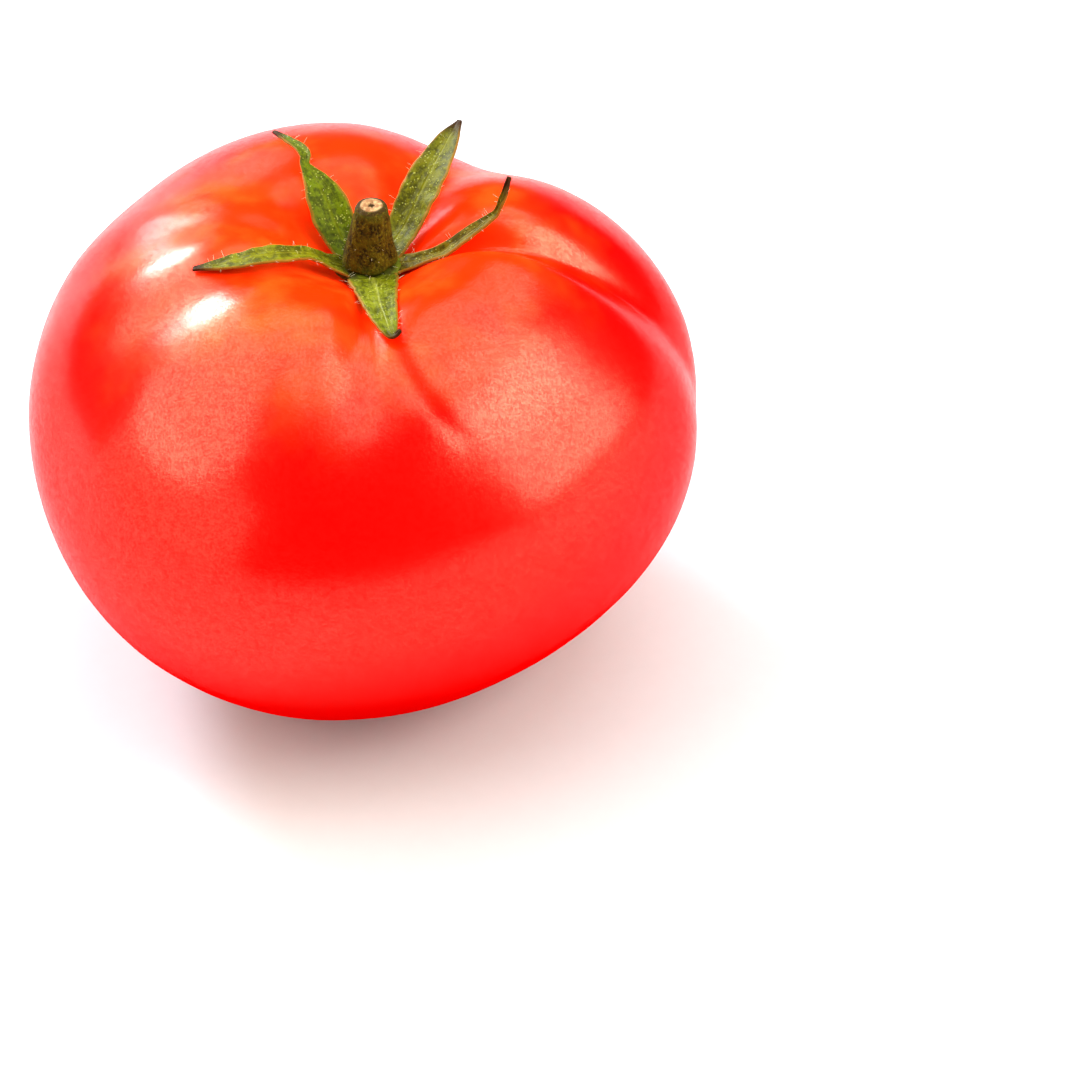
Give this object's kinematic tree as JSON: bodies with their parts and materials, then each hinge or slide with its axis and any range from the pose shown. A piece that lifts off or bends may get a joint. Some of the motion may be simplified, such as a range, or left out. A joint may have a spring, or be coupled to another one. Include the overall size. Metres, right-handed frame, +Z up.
{
  "type": "tomato",
  "caption": "Ripe beefsteak tomato with softly lobed shoulders, a leafy green calyx and a short cut stem, resting on its flat blossom end.",
  "frame": {"origin": "on the surface the tomato stands on, under the middle of its box", "axes": "+Z up from the blossom end to the stem, +X to the right and -Y to the front of the pictured view"},
  "size_m": [0.0854, 0.088, 0.068],
  "materials": {
    "skin": "glossy thin skin, deep red with orange shoulders and fine pale specks",
    "sepal": "matte leafy green with paler edges, brown tips and fine hairs",
    "stalk": "dull olive brown stalk with a dry cream cut face"
  },
  "bodies": {
    "root": {"fruit": "skin", "calyx": "sepal", "stem": "stalk"}
  },
  "joints": []
}
